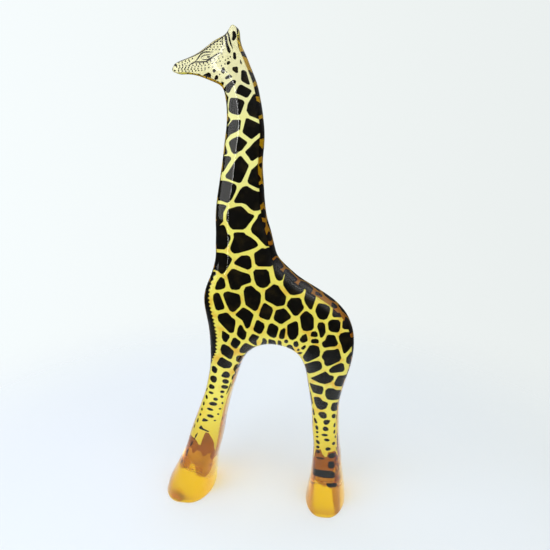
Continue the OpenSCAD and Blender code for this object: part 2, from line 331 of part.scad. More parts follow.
body_patches = [
  [[-34.5, 332.7], [-31.5, 334.2], [-28.8, 333.5], [-27.3, 329.5], [-26.3, 325.5], [-22.8, 322.5],
   [-22.6, 319], [-24.8, 314.5], [-26.3, 310.5], [-29.5, 307.3], [-33, 307.2], [-46, 307.5], [-46, 325]],
  [[-19.7, 325.7], [-15, 326.6], [-8, 326.5], [-6, 324.2], [0, 321.2], [5, 317.2], [7.6, 313],
   [4, 310.3], [-3, 307.3], [-10, 305.2], [-14.5, 303.7], [-19, 303.2], [-21, 304.3], [-23.8, 307.5],
   [-22.7, 312], [-20.2, 318], [-19.2, 321]],
  [[-48, 304], [-35, 303.7], [-30, 303.5], [-24, 300.2], [-21.3, 297.5], [-21.8, 295], [-26, 287.8],
   [-29, 283.3], [-32, 280], [-34, 280.2], [-37, 283], [-50, 286]],
  [[-11.5, 301.3], [-5, 302], [-2, 300.8], [-0.3, 297], [0.2, 289.5], [-2, 286.8], [-4.5, 286],
   [-9, 287.5], [-18.7, 291.3], [-19.6, 293.5], [-15, 298.3]],
  [[11, 310.6], [14, 309.5], [17, 311], [32, 311], [36, 298], [28, 296.5], [23, 292], [20, 290],
   [7, 290.2], [3.8, 293], [2.8, 300], [2.5, 304.5], [6, 306.7]],
  [[22.3, 290.5], [25, 280], [27, 276.2], [30, 274.7], [33.5, 275.8], [34.5, 281], [40, 288], [30, 300],
   [22, 296]],
  [[-22, 286.3], [-19, 286.5], [-12, 283.8], [-4, 281.7], [-2, 280.2], [-0.3, 275], [-1.3, 271.8],
   [-8, 269.2], [-11.3, 267.7], [-13.8, 263.7], [-17, 262.7], [-22.5, 263], [-24.2, 265], [-26.7, 275],
   [-27.6, 279], [-25.2, 282.7]],
  [[4, 286.8], [16, 287.2], [18.6, 284.5], [19.8, 279], [20.8, 273], [17, 268], [13, 266.2], [9, 266.7],
   [5, 269.3], [2.8, 275], [1.5, 284]],
  [[-35, 276.6], [-33, 276.6], [-30.3, 274.5], [-29, 268], [-29.8, 264.3], [-35, 262.3], [-40, 261.7],
   [-41.3, 263.3], [-39.2, 270]],
  [[-40.5, 258.6], [-37.5, 258.8], [-35.8, 257], [-32.8, 249], [-30.7, 243], [-31.3, 240.2],
   [-38, 238.2], [-40.7, 238.8], [-42.2, 244], [-43.8, 251], [-43.2, 256]],
  [[-31, 259.3], [-27, 261], [-20, 259.6], [-14.3, 258.2], [-12.8, 255.5], [-12, 248], [-13.3, 244.3],
   [-19, 238.2], [-22, 237.2], [-25.2, 238.8], [-29.2, 247], [-32.3, 256.5]],
  [[-7, 266.8], [-1, 268.6], [2, 266.8], [5, 263.7], [9, 261.2], [10.3, 258], [9.6, 250], [6.7, 242],
   [4, 239.7], [2, 240], [-3, 243.2], [-7.2, 246.3], [-8.3, 252], [-9.3, 262]],
  [[14.8, 264], [20.5, 268.3], [24, 271.6], [29, 269.8], [31.2, 266.2], [34.2, 262.5], [37.8, 258],
   [37.3, 254], [36.2, 248.3], [33, 247.3], [27.5, 246.2], [23, 248.7], [17.5, 251.3], [14.2, 253],
   [14.2, 260]],
  [[33.7, 274], [34.3, 270], [38.3, 264], [42, 260.2], [46, 259.7], [53, 261.3], [55.7, 263.5],
   [56.7, 267], [58, 274], [45, 286], [36, 284]],
  [[43, 256.8], [52, 257.3], [54.2, 255], [55.2, 251], [57.6, 247], [56.2, 244], [50.7, 237.3],
   [48, 236.5], [45.3, 237.6], [41.8, 243], [38.2, 247.5], [39.3, 252]],
  [[57.8, 262], [60, 270], [69, 268], [69.8, 262], [69.3, 257], [67.8, 252], [66.2, 246], [65, 244.2],
   [62.8, 245.3], [58.3, 251.5], [56.7, 256]],
  [[73, 261.5], [73.7, 257.5], [78, 254.3], [86.5, 252], [87, 253.7], [80, 259], [74.5, 262.4]],
  [[72, 251.8], [80, 250.8], [84.2, 248.7], [85.1, 246], [84.3, 241], [82.2, 235.3], [79, 233.7],
   [74.5, 234.2], [71.8, 237], [69.2, 243], [70, 247]],
  [[88.4, 248], [91, 249.4], [95, 247.3], [99.9, 241], [99.9, 238.3], [96, 236.7], [89, 236.7],
   [86.7, 239]],
  [[84.5, 233.6], [88, 234.6], [94, 234], [96.3, 231], [96.3, 225], [95.2, 220.8], [93, 220],
   [87, 220.7], [84.2, 223], [83.2, 230]],
  [[98.3, 233.3], [102, 234.4], [107, 231], [110, 226], [107, 223.6], [100, 223.8], [98, 226]],
  [[97, 219.3], [101, 220.8], [114, 221], [116, 205], [109, 204], [103, 197], [101, 196.2], [99.8, 200],
   [98.3, 206], [95.8, 212], [95.2, 216]],
  [[12.8, 249.3], [15, 249.6], [22.2, 245.2], [23.6, 241.5], [21.8, 236], [19.7, 230.8], [17, 230],
   [9, 232.7], [7.5, 235.3], [9.8, 243]],
  [[27, 242.3], [35, 244.8], [37.7, 243.2], [43.3, 236], [42.6, 233.3], [37, 229.2], [33.5, 226.4],
   [30.5, 226.7], [24.8, 230.3], [23.9, 233], [25.8, 240]],
  [[-10, 243.8], [-3, 240.3], [2.3, 235.5], [0.2, 229.5], [-2.3, 221.3], [-5, 218.7], [-7.2, 219.4],
   [-9.2, 224], [-10.8, 228], [-13.2, 229.8], [-18.3, 233.3], [-18.8, 235], [-14, 239.8]],
  [[-37.7, 234], [-29.5, 236.6], [-26.8, 235.7], [-22.8, 231.2], [-18.7, 228.6], [-18.7, 224],
   [-20.5, 214.3], [-23, 212.2], [-26.2, 213.2], [-32.2, 219.3], [-38.2, 226], [-39.1, 231]],
  [[4.8, 229.1], [7, 229.8], [13.2, 226.2], [14.3, 222], [12.2, 217], [10.2, 213.7], [7.5, 213.5],
   [2.3, 216.3], [1.2, 219]],
  [[20, 226.3], [23, 226.8], [29.3, 223.2], [29.6, 220], [27.2, 211.3], [24.5, 209.7], [20, 211.2],
   [15.7, 215], [16.7, 218.5], [18.2, 224]],
  [[35.5, 222.4], [37.6, 221.2], [36.8, 214], [36.3, 210.2], [34, 209], [30.2, 209.5], [30, 213],
   [31.7, 219]],
  [[48, 230.8], [50.8, 229.7], [51.8, 222], [51.6, 215.3], [49.2, 210.8], [45.5, 208.4], [41.8, 209.2],
   [39.2, 215], [38.9, 226]],
  [[58, 242.3], [60.5, 243.1], [66.2, 238.7], [68.1, 235], [68.3, 224], [66.2, 221.2], [61, 219.7],
   [56.8, 220.2], [54.7, 223.5], [53.7, 230], [52.7, 236], [55.3, 239.7]],
  [[73, 230.8], [78, 231], [80.3, 228.7], [81.3, 220], [79.2, 215.3], [77, 212.9], [75.3, 213.7],
   [73.7, 220], [71.7, 225.5]],
  [[65.8, 219.8], [70, 220.5], [72.3, 218.7], [73.1, 214.3], [70, 213.5], [64.5, 214]],
  [[65.8, 210.8], [72, 212.1], [74.1, 209.7], [74.3, 206.5], [66.3, 206], [65.2, 208]],
  [[56, 214.8], [60.2, 217.3], [61.3, 213.5], [62.3, 208.8], [58, 206.2], [55.3, 206], [52.4, 209.5]],
  [[46.8, 206.8], [50.7, 208.3], [52.3, 203.5], [50.7, 200.7], [47.8, 201.2], [45.7, 204]],
  [[54.7, 200.5], [59.8, 204.5], [60.1, 201], [57.5, 197.7], [55.2, 198.8]],
  [[50.7, 199.2], [53.2, 199.3], [53.8, 197], [50.7, 196.2]],
  [[52.5, 195.8], [57.5, 195.3], [54.5, 192.3], [50, 193]],
  [[83, 217.3], [91.2, 217.3], [92.8, 213], [95.1, 208], [93.2, 204.2], [86, 203.2], [79.8, 201.5],
   [77.7, 205], [77.2, 207.7], [80.8, 210.7]],
  [[64, 203.3], [68, 204.5], [74.2, 203.2], [75.8, 197], [75.3, 191.8], [72, 189.2], [63, 184],
   [60.2, 184.7], [57, 190], [60.7, 197]],
  [[82.8, 199.3], [91, 200.3], [95.2, 202.3], [96.8, 199], [99.1, 191], [97.2, 187.2], [88, 181.7],
   [83, 180], [80.7, 183], [80.2, 187], [77.2, 190.5], [79.7, 197]],
  [[62, 182.2], [69, 185.3], [75.2, 186.3], [77.8, 183], [78.8, 178], [76.2, 175.2], [70, 171.7],
   [65.5, 170.2], [60, 171], [58, 179]],
  [[90, 180.8], [99, 185.8], [101.3, 184.2], [102.3, 178.5], [101.2, 175.2], [93, 173.2], [87.3, 172.4],
   [85.5, 176]],
  [[108, 198], [116, 200], [114, 184], [106, 184], [103.3, 186], [103.8, 192]],
  [[-34.2, 215.4], [-31, 213.7], [-25.8, 210.2], [-25.6, 207.3], [-29, 201.7], [-30.7, 201.2],
   [-33.2, 202.8], [-34.8, 207]],
  [[-13.5, 223.5], [-11.3, 222.2], [-8.8, 217.6], [-6.2, 214.5], [-6.7, 210], [-8.3, 205.7],
   [-11, 205.2], [-14.2, 207.3], [-17.8, 211], [-16.2, 219]],
  [[-21.7, 207.3], [-18.5, 207.3], [-12.7, 203], [-13.8, 200.3], [-17.3, 195.2], [-19, 194],
   [-22.2, 195.8], [-25.3, 199]],
  [[0.3, 213.6], [8.6, 210.6], [4.8, 205.5], [5, 199], [-1, 202.2], [-4.8, 205.5], [-3.2, 208.7]],
  [[11.2, 208.6], [14, 209.6], [16.8, 206.5], [15.7, 200], [8, 200], [11.2, 205.4]],
  [[18.3, 208.8], [26.2, 207.2], [26.8, 204], [27, 200], [17.5, 200]],
  [[28.7, 208.2], [33.2, 207], [33.2, 203.4], [34, 200], [28.5, 200]],
  [[36.2, 208], [39, 209.8], [41.1, 206.5], [39.2, 204.5], [35.7, 205.6]],
  [[41.6, 204.2], [45, 202.6], [49, 196], [40, 197.5], [38, 201]],
  [[-7.5, 202.5], [-2, 200.2], [4, 198], [-5, 189], [-10, 189.5], [-15.3, 190], [-14.8, 194],
   [-11.2, 199.3]],
  [[-35, 198.3], [-32, 199.1], [-26.8, 196.7], [-20.7, 191], [-22.3, 186], [-24.3, 181.2], [-27, 181.5],
   [-35.2, 186.8], [-36.6, 192]],
  [[-17.2, 186.9], [-12, 186.5], [-7, 187.5], [-13, 178], [-17, 177], [-19.8, 180], [-19.3, 184.2]],
  [[-37.2, 182.3], [-34.5, 183.1], [-29, 179.8], [-23.7, 177.2], [-24.2, 173.8], [-26.8, 170.2],
   [-33, 169.5], [-38.2, 171.8], [-41.4, 174.5]]
];
// The dark edge in front of the chest, with a saw-toothed line towards the body.
chest_line = [[-38.3, 282], [-44.5, 270], [-47, 261], [-48, 252], [-47, 243], [-45, 234], [-43, 225],
  [-41.5, 216], [-40.3, 208], [-40.6, 199], [-41, 190], [-43.5, 183], [-47, 176]];
chest_teeth = [for (i = [0:len(chest_line) - 2], s = [0:1]) let (a = chest_line[i], b = chest_line[i + 1])
  each [a + (b - a) * s / 2 + [-1.2, 0], a + (b - a) * (s / 2 + 0.25) + [1, 0]]];
chest_edge = concat(chest_teeth, [[-48.5, 172], [-56, 172], [-62, 200], [-62, 260], [-50, 282]]);

fore_leg_patches = [
  [[-21.2, 175], [-12, 176], [-16, 168], [-19.3, 164.9], [-21.7, 165.7], [-23.8, 168]],
  [[-46.3, 170.8], [-43, 171.9], [-40.2, 168], [-41.2, 163.8], [-43.5, 162], [-46.3, 165]],
  [[-36.9, 159.2], [-34.2, 164.2], [-31, 166.6], [-27.7, 165.2], [-27, 161], [-28.8, 158.2], [-32, 157.9]],
  [[-22.2, 163], [-20.8, 161], [-23.8, 155], [-25.9, 155.6], [-25.3, 159.7]],
  [[-48.3, 157.2], [-45.5, 159.9], [-41.7, 158.7], [-41.2, 154.5], [-43.3, 150.4], [-46.7, 151.2],
   [-48.6, 154]],
  [[-50.4, 145], [-48.7, 149.2], [-45.8, 147.7], [-43.6, 145.3], [-45.3, 142.6], [-49.8, 142.6]],
  [[-60.8, 99.7], [-58.7, 105], [-55, 103.3], [-52.3, 102], [-55.5, 100.4]],
  [[-65, 90.2], [-61.5, 95.4], [-59.6, 91.2], [-52.5, 87.9], [-53.2, 86.4], [-60.5, 88.9]]
];
fore_leg_ovals = [
  [-32, 153.5, 3.4, 3, 0], [-33.3, 146.5, 3.7, 2.6, 0], [-36.1, 140.3, 2.3, 1.8, 20],
    [-48.3, 137.8, 2.6, 1.7, -15],
  [-37, 134, 1.6, 1.8, 0], [-53.3, 131.5, 1.3, 2.8, 0], [-43.8, 130.2, 2.8, 2.1, 0],
    [-37.1, 125.6, 1.1, 1.7, 0],
  [-46.8, 124, 4.8, 2.6, 0], [-57, 122.5, 1.2, 2.5, -12], [-50.5, 116.7, 3.8, 1.8, -15],
    [-40, 118.2, 1.4, 1.2, 20],
  [-59.4, 115, 1.1, 1.8, -10], [-42.2, 111.2, 1.1, 1.2, 0], [-50.5, 108, 4.2, 2.2, -10],
    [-61.5, 108, 1.1, 2, -25],
  [-46, 102.7, 1.3, 1, 30], [-65, 100, 1, 3.2, -15], [-53.2, 140.5, 1, 2.8, -25], [-69.5, 92, 0.9, 3.2, -15]
];
fore_leg_lines = [
  [[[-25.8, 152.5], [-27.2, 149], [-28.1, 145.8], [-30.2, 141], [-32.5, 137]], 1.8],
  [[[-66, 84.5], [-67.8, 80.5], [-69.8, 75.5]], 1.6]
];
// Dashes that run on down the chest side of the foot.
fore_foot_lines = [
  [[[-71.6, 72], [-73, 68.5], [-74.6, 65]], 1.8],
  [[[-76.6, 61], [-78.2, 56.5], [-79.8, 50.5]], 1.9],
  [[[-85, 43.5], [-86.4, 41], [-88, 38.5]], 1.8]
];

hind_leg_patches = [
  [[66.2, 164.5], [72, 168.2], [80, 172.8], [82, 174.5], [84.2, 172.7], [86.7, 170.1], [91.8, 169.3],
   [91.3, 165], [88.2, 161.3], [82, 158.7], [76, 159.7], [70, 162.7]],
  [[96, 170.2], [110, 172], [106, 158], [100, 156.7], [93.3, 157.5], [91.6, 160], [93.7, 165]],
  [[65, 159], [72, 157.3], [80.2, 155.8], [80.8, 152], [79.2, 145.7], [74.5, 146.2], [70, 147.7],
   [67.6, 153]],
  [[85.8, 154.3], [91, 154.6], [94, 152.8], [104, 152], [104, 141], [90, 140], [85.3, 140.2],
   [82.7, 145], [82.7, 151.2]],
  [[70.8, 142.4], [76.7, 142.8], [80.2, 138.3], [85.2, 136.8], [86.2, 134.5], [84.2, 129.2], [79, 126.6],
   [74.8, 128.8], [72.2, 135]],
  [[90.3, 137], [99, 137.5], [98, 127.5], [94, 126.4], [89.7, 126], [88.7, 130]],
  [[76.8, 124.4], [82.2, 124.7], [84.9, 122.2], [85.4, 117.8], [82.7, 116.3], [78.8, 116.6], [76.1, 121.5]],
  [[81.8, 114.4], [86, 115.4], [89.2, 115], [87.3, 110.3], [84.5, 108.1], [81.6, 110.3]],
  [[81.2, 105.4], [83.5, 106.8], [86.8, 105.8], [87.9, 101.8], [84, 100.6], [81.1, 101.8]],
  [[87.6, 69.3], [90, 73.4], [93.8, 73.2], [94.9, 69], [92, 66.6], [88.7, 67]],
  [[69.3, 129.2], [71.7, 126.2], [73.4, 119.2], [70.8, 118.6], [69.3, 124]],
  [[72, 116.6], [74.2, 115.2], [76.4, 109.7], [73.8, 109], [72.2, 113]],
  [[64, 151], [67.8, 146], [70.3, 134], [68.8, 131.5], [64, 138]]
];
hind_leg_ovals = [
  [92, 120, 2.3, 3, 0], [83.5, 95.8, 3.6, 1.7, 0], [86, 89.7, 3.1, 1.9, -5], [87.5, 78.3, 2.8, 2.3, 25],
  [75.5, 104.2, 1.4, 3, 10], [76, 98.5, 1.2, 1.6, 0], [76.3, 92.8, 1.2, 1.3, 0], [77.2, 86, 1.4, 2.9, 25],
  [77.5, 79.6, 1.5, 2, 0], [78, 73.5, 1.7, 2, 0], [93, 108.5, 1.3, 3, -10], [93, 100.2, 1.2, 2.7, -10],
  [94.3, 93.7, 1.1, 1.9, 0], [92.5, 85.4, 1.6, 2.2, -10], [96.5, 78, 0.9, 2.9, 5], [97.2, 67, 1, 3.2, 12],
  [96.2, 118.5, 1, 3.4, 0], [80.3, 65.4, 3.8, 1.1, 0]
];
hind_foot_patches = [
  [[88.3, 54], [88.2, 62.2], [92.7, 62.8], [93.8, 57], [92.8, 53]],
  [[73.6, 42], [74.2, 48.8], [76, 50.4], [92.2, 50.4], [93.9, 47], [93.9, 41], [84, 40.5]],
  [[86.8, 33.8], [95.4, 34.6], [95.6, 29], [88.6, 28.8]]
];
hind_foot_lines = [
  [[[98.8, 58.5], [99.3, 54.5], [99.7, 50]], 1.4],
  [[[100.8, 45], [101.2, 41.5], [101.8, 37.5]], 1.2],
  [[[72.6, 35.6], [72, 33.5], [71.4, 31]], 1.3]
];

// Lower edge of the yellow ink, with a window in the front leg.
ink_edge = [
  [-130, 80], [-76, 80], [-70, 77], [-67.5, 73.5], [-66, 69.5], [-63.5, 68.5], [-61.5, 75],
  [-58.5, 83], [-56.5, 86.3], [-53, 85.3], [-50.5, 79], [-49, 72], [-49.3, 66], [-47, 61],
  [-44, 56], [-38, 52], [30, 60], [66, 62], [74, 65], [76, 76], [80, 77], [82, 71],
  [84.5, 67.6], [86.5, 68], [88, 74], [94, 76], [96, 72], [100, 68], [130, 66]
];
// Lower edge of the brown tint under the ink, with a tongue and a notch in the front foot.
tint_edge = [
  [-130, 44], [-91, 42], [-86, 33], [-78, 37], [-75, 43], [-71, 41], [-70, 28], [-67, 26],
  [-63, 26], [-57, 30], [-50, 38], [-46, 43], [-30, 46], [40, 46], [66, 46], [72, 43], [76, 38],
  [80, 33], [84, 29], [88, 30], [92, 27], [93, -5], [99, -5], [101, 36], [106, 42], [130, 44]
];

module film_shape() polygon(on_film(film_ring));
module above(edge) polygon(on_film(concat([[-130, 560]], edge, [[130, 560]])));
module loops(list) {
  for (l = list) polygon(on_film(soft(l)));
}
module ovals(list) {
  for (o = list) polygon(on_film(oval(o)));
}
module lines(list) {
  for (l = list) polygon(on_film(stroke(l[0], l[1])));
}
module within_film() {
  intersection() {
    film_shape();
    union() children();
  }
}
module forehead_line() intersection() {
  polygon(on_film(brow_area));
  difference() {
    film_shape();
    translate(brow_shift) film_shape();
  }
}
module head_shape() within_film() {
  loops(head_patches);
  ovals(head_ovals);
  lines(head_lines);
  forehead_line();
  for (p = head_dots) translate(on_film([p])[0]) circle(r = dot_r, $fn = 64);
}
module neck_shape() within_film() loops(neck_patches);
module body_shape() within_film() {
  loops(body_patches);
  polygon(on_film(chest_edge));
}
// The near film carries its print on over the feet, so the leg modules take a feet flag.
module fore_leg_shape(feet) within_film() {
  loops(fore_leg_patches);
  ovals(fore_leg_ovals);
  lines(fore_leg_lines);
  if (feet) lines(fore_foot_lines);
}
module hind_leg_shape(feet) within_film() {
  loops(hind_leg_patches);
  ovals(hind_leg_ovals);
  if (feet) {
    loops(hind_foot_patches);
    lines(hind_foot_lines);
  }
}
module all_marks(feet) {
  head_shape();
  neck_shape();
  body_shape();
  fore_leg_shape(feet);
  hind_leg_shape(feet);
}
// The film above the floor, a little short of it.
module standing_film() intersection() {
  film_shape();
  polygon(on_film([[-130, 0.1], [130, 0.1], [130, 560], [-130, 560]]));
}

// ---------- placing ----------
module as_film() translate([0, -film_offset, 0]) rotate([90 - tilt, 0, 0])
  linear_extrude(height = film_thick, center = true) children();
module on_left() scale(figure_scale) children();
module on_right() scale(figure_scale) mirror([0, 1, 0]) children();

module amber_core() color([0.93, 0.6, 0.08, 0.6]) scale(figure_scale) core_solid();
module left_cover() color([0.95, 0.97, 0.98, 0.3]) on_right() cover_solid();
module right_cover() color([0.95, 0.97, 0.98, 0.3]) on_left() cover_solid();

module ground(feet) as_film() difference() {
  intersection() {
    standing_film();
    above(ink_edge);
  }
  all_marks(feet);
}
module foot_tint(feet) as_film() difference() {
  intersection() {
    standing_film();
    above(tint_edge);
  }
  above(ink_edge);
  all_marks(feet);
}
module foot_film(feet) as_film() difference() {
  standing_film();
  above(ink_edge);
  above(tint_edge);
  all_marks(feet);
}
module left_ground() color([0.93, 0.9, 0.42]) on_left() ground(true);
module right_ground() color([0.93, 0.9, 0.42]) on_right() ground(false);
module left_foot_tint() color([0.6, 0.38, 0.12, 0.7]) on_left() foot_tint(true);
module right_foot_tint() color([0.6, 0.38, 0.12, 0.7]) on_right() foot_tint(false);
module left_foot_film() color([0.98, 0.85, 0.3, 0.4]) on_left() foot_film(true);
module right_foot_film() color([0.98, 0.85, 0.3, 0.4]) on_right() foot_film(false);

module left_head_marks() color([0.08, 0.08, 0.07]) on_left() as_film() head_shape();
module right_head_marks() color([0.08, 0.08, 0.07]) on_right() as_film() head_shape();
module left_neck_patches() color([0.06, 0.06, 0.05]) on_left() as_film() neck_shape();
module right_neck_patches() color([0.06, 0.06, 0.05]) on_right() as_film() neck_shape();
module left_body_patches() color([0.06, 0.06, 0.05]) on_left() as_film() body_shape();
module right_body_patches() color([0.06, 0.06, 0.05]) on_right() as_film() body_shape();
module left_fore_leg_marks() color([0.07, 0.06, 0.05]) on_left() as_film() fore_leg_shape(true);
module right_fore_leg_marks() color([0.07, 0.06, 0.05]) on_right() as_film() fore_leg_shape(false);
module left_hind_leg_marks() color([0.07, 0.06, 0.05]) on_left() as_film() hind_leg_shape(true);
module right_hind_leg_marks() color([0.07, 0.06, 0.05]) on_right() as_film() hind_leg_shape(false);

amber_core();
left_cover();
right_cover();
left_ground();
right_ground();
left_foot_tint();
right_foot_tint();
left_foot_film();
right_foot_film();
left_head_marks();
right_head_marks();
left_neck_patches();
right_neck_patches();
left_body_patches();
right_body_patches();
left_fore_leg_marks();
right_fore_leg_marks();
left_hind_leg_marks();
right_hind_leg_marks();
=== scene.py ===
"""Layered resin giraffe: smooth clear skin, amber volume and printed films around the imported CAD."""

import math

import bmesh
import bpy
import numpy as np
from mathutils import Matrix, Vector
from mathutils.geometry import delaunay_2d_cdt


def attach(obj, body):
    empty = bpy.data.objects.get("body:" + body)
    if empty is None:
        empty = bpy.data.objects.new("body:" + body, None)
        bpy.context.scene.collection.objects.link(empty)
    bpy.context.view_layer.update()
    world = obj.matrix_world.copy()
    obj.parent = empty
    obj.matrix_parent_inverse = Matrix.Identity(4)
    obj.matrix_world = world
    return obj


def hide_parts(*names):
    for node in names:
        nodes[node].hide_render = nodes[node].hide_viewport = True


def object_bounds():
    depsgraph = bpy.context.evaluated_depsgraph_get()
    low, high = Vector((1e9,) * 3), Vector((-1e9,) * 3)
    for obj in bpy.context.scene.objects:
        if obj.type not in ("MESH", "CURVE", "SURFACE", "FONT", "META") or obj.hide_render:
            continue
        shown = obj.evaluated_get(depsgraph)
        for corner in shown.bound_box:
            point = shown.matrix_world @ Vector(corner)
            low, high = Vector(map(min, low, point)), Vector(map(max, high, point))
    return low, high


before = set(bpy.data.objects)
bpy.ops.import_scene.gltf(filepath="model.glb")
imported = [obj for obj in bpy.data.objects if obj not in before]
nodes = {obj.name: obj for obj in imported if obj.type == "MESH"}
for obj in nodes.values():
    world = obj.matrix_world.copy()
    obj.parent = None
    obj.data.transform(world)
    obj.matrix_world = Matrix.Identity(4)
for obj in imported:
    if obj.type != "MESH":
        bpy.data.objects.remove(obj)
cad_box = [list(map(float, corner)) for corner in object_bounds()]

# ---------------------------------------------------------------- shape numbers, as in part.scad, in mm
HALF_DEPTH = 29.5
DEPTH_TAPER = 0.038
FOOT_FLARE = 12.0  # the CAD facets cut the corner of its 12.5
FLARE_HEIGHT = 110.0
FILM_OFFSET = 21.0
FILM_TAPER = 0.0265
FILM_THICK = 0.5
EDGE_ROUND = 17.0
EDGE_POWER = 3.0
FOOT_POWER_DROP = 0.9  # the exponent of the rounding falls by this at the floor
FOOT_ROUND = 12.0  # and its width grows by this
ROUND_FIT = 0.9  # share of the largest inner circle that the rounding may take

# ---------------------------------------------------------------- finer numbers of the visual skin, in mm
STEP = 1.7  # spacing of the outline points
COLUMNS = 13  # points from the middle plane to the top of the rounding
PROUD = 0.15  # the skin stands this far outside the flat CAD facets
FOOT_EDGE = 0.9  # small rounding of the rim that stands on the floor
LEVEL_POINTS = 60  # outline points next to the floor that may be turned level
LEVEL_HEIGHT = 26.0  # above this height they keep their own direction
CORE_COLUMNS = 5  # points from the middle plane to the film
CORE_GAP = 0.12  # the amber volume lies this far inside the facets
CORE_LIFT = 0.4  # and its base this far above the floor
BROW_GAP = 3.5  # extra gap along the forehead, where the rim is clear
JAW_GAP = 1.2  # extra gap along the jaw
FACE_FLOOR = 468.0  # the face starts at this height
FACE_BACK = -14.0  # and in front of this x
CAP_SPACING = 5.0  # grid of the broad faces
BASE_SPACING = 6.0  # grid under the feet
RIM_CLEAR = 3.0  # the grid keeps this far from the rim


def low(z):
    """1 at the floor, falling to 0 at the top of the foot's flare."""
    return np.maximum(0.0, 1.0 - z / FLARE_HEIGHT) ** 2


def outer_y(z):
    return HALF_DEPTH - DEPTH_TAPER * z + FOOT_FLARE * low(z)


def film_y(z):
    return FILM_OFFSET - FILM_TAPER * z


def power_at(z):
    return EDGE_POWER - FOOT_POWER_DROP * low(z)


def core_y(z):
    """Half the thickness of the amber volume; its faces lie just inside the films' inner faces."""
    return film_y(z) - 0.6 * FILM_THICK


def ease(t):
    t = np.clip(t, 0, 1)
    return t * t * (3 - 2 * t)


# ---------------------------------------------------------------- outline from the CAD core
def outline_loop(core):
    """The widest outline of the core as an ordered loop of (x, z) in mm."""
    mesh = core.data
    co = np.zeros(len(mesh.vertices) * 3)
    mesh.vertices.foreach_get("co", co)
    co = co.reshape(-1, 3) * 1000.0
    points, index = np.unique(np.round(co, 3), axis=0, return_inverse=True)
    index = np.asarray(index).reshape(-1)
    row = (points[:, 1] < 0) & (-points[:, 1] < 0.5 * film_y(points[:, 2]))
    near = {}
    for polygon in mesh.polygons:
        ids = [index[v] for v in polygon.vertices]
        for a, b in zip(ids, ids[1:] + ids[:1]):
            if a != b and row[a] and row[b]:
                near.setdefault(a, set()).add(b)
                near.setdefault(b, set()).add(a)
    start = max(near, key=lambda i: points[i, 0] - 10.0 * points[i, 2])
    loop = [start]
    step = max(near[start], key=lambda i: points[i, 2])
    while step != start:
        loop.append(step)
        nxt = [i for i in near[step] if i != loop[-2]]
        step = nxt[0]
    return points[loop][:, [0, 2]]


def chains(loop):
    """The loop cut at the floor: from the hind foot up over the head to the front foot, then the arch."""
    floor = [i for i in range(len(loop)) if loop[i, 1] < 0.01]
    return [loop[floor[0] : floor[1] + 1], loop[floor[2] : floor[3] + 1]]


def smoothed(values, sigma, keep_ends=True):
    reach = int(3 * sigma + 1)
    kernel = np.exp(-0.5 * (np.arange(-reach, reach + 1) / sigma) ** 2)
    kernel /= kernel.sum()
    values = np.asarray(values, float)
    flat = values.ndim == 1
    table = values[:, None] if flat else values
    head = 2 * table[:1] - table[reach:0:-1]
    tail = 2 * table[-1:] - table[-2 : -reach - 2 : -1]
    padded = np.concatenate([head, table, tail])
    out = np.stack([np.convolve(padded[:, k], kernel, "valid") for k in range(table.shape[1])], 1)
    if keep_ends:
        out[0], out[-1] = table[0], table[-1]
    return out[:, 0] if flat else out


def resampled(line, step):
    d = np.concatenate([[0.0], np.cumsum(np.linalg.norm(np.diff(line, axis=0), axis=1))])
    count = max(4, int(round(d[-1] / step)))
    t = np.linspace(0.0, d[-1], count + 1)
    return np.stack([np.interp(t, d, line[:, k]) for k in range(2)], 1)


def fine_chain(points):
    """A smooth run through the points, a point each STEP mm."""
    p = np.concatenate([2 * points[:1] - points[1:2], points, 2 * points[-1:] - points[-2:-1]])
    out = []
    for i in range(1, len(p) - 2):
        a, b, c, d = p[i - 1], p[i], p[i + 1], p[i + 2]
        square = 2 * a - 5 * b + 4 * c - d
        cube = 3 * b - a - 3 * c + d
        for t in (0.0, 0.25, 0.5, 0.75):
            out.append(0.5 * (2 * b + (c - a) * t + square * t**2 + cube * t**3))
    out.append(points[-1])
    fine = resampled(np.array(out), STEP)
    return resampled(smoothed(fine, 1.3), STEP)


def true_normals(line):
    d = np.gradient(line, axis=0)
    n = np.stack([d[:, 1], -d[:, 0]], 1)
    return n / np.linalg.norm(n, axis=1)[:, None]


def level_at_floor(line, n):
    """The same normals, turned level where the line meets the floor; the rounding then stays above it."""
    for end in (0, -1):
        level = np.array([np.sign(n[end, 0]), 0.0])
        place = np.arange(len(line))
        near = place < LEVEL_POINTS if end == 0 else place >= len(line) - LEVEL_POINTS
        t = ease(line[:, 1] / LEVEL_HEIGHT)[:, None]
        n = np.where(near[:, None], n * t + level * (1 - t), n)
    return n / np.linalg.norm(n, axis=1)[:, None]


loop = outline_loop(nodes["amber_core"])
lines = [fine_chain(c) for c in chains(loop)]
outward = [true_normals(c) for c in lines]
normals = [level_at_floor(c, n) for c, n in zip(lines, outward)]


def rounding_widths():
    """Width of the rounding at each outline point, held under the largest circle that fits inside there."""
    p = np.concatenate(lines)
    n = np.concatenate(outward)
    limit = np.zeros(len(p))
    for i in range(len(p)):
        # Radius of the circle that touches the outline here and runs through each other point; 999 is none.
        d = p - p[i]
        c = -(d @ n[i])
        r = np.where(c > 0.002, (d * d).sum(1) / np.maximum(2 * c, 1e-9), 999.0)
        limit[i] = r.min()
    w = np.minimum(EDGE_ROUND + FOOT_ROUND * low(p[:, 1]), ROUND_FIT * limit)
    out = []
    first = 0
    for line in lines:
        part = w[first : first + len(line)]
        first += len(line)
        lowest = np.array([part[max(0, i - 3) : i + 4].min() for i in range(len(part))])
        out.append(smoothed(lowest, 3.0, keep_ends=False))
    return out


widths = rounding_widths()


def inset_at(y, w, z):
    """How far the rounding has drawn in at y, for a rounding of width w at height z."""
    p = power_at(z)
    q = np.clip(np.abs(y) / outer_y(z), 0, 1)
    return w * (1 - (1 - q**p) ** (1 / p))


